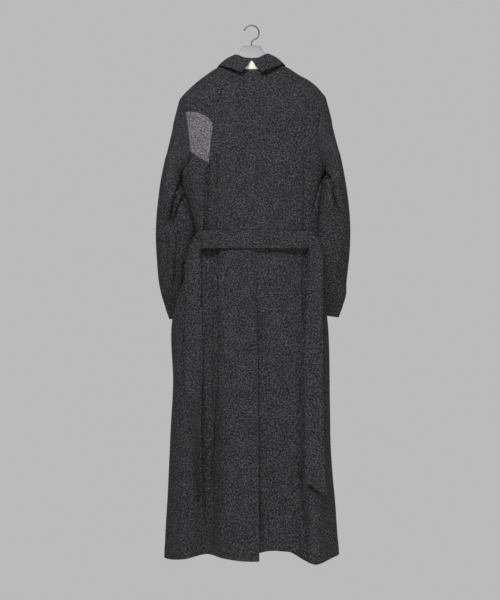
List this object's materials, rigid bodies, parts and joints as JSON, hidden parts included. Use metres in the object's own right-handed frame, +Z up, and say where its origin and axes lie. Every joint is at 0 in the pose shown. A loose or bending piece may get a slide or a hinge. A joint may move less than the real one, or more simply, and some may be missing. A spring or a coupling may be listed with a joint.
{
  "type": "chesterfield coat on a hanger",
  "caption": "Long wool coat with a half belt, hanging belt ends, back vent, turned-down collar and a pale back insert, hung on a broad hanger with a wire hook.",
  "frame": {"origin": "inside of the hook's crown, where the rail carries it", "axes": "+Z up, +X to the wearer's right, +Y towards the coat's front; the back faces -Y"},
  "size_m": [0.5108, 0.2128, 1.3846],
  "materials": {
    "wool": "charcoal herringbone wool, soft nap",
    "pale_cloth": "light grey wool, plain weave",
    "felt": "cream felt",
    "plastic": "pale grey, satin",
    "metal": "dark polished wire"
  },
  "bodies": {
    "root": {"back_left": "wool", "back_right": "wool", "side_back_left": "wool", "side_back_right": "wool", "insert_left": "pale_cloth", "front_left": "wool", "front_right": "wool", "lapel_left": "wool", "lapel_right": "wool", "sleeve_left_upper": "wool", "sleeve_left_under": "wool", "sleeve_right_upper": "wool", "sleeve_right_under": "wool", "collar_left": "wool", "collar_right": "wool", "collar_stand": "felt", "belt_back": "wool", "belt_tail_left": "wool", "belt_tail_right": "wool", "hanger_body": "plastic", "hanger_hook": "metal"}
  },
  "joints": []
}
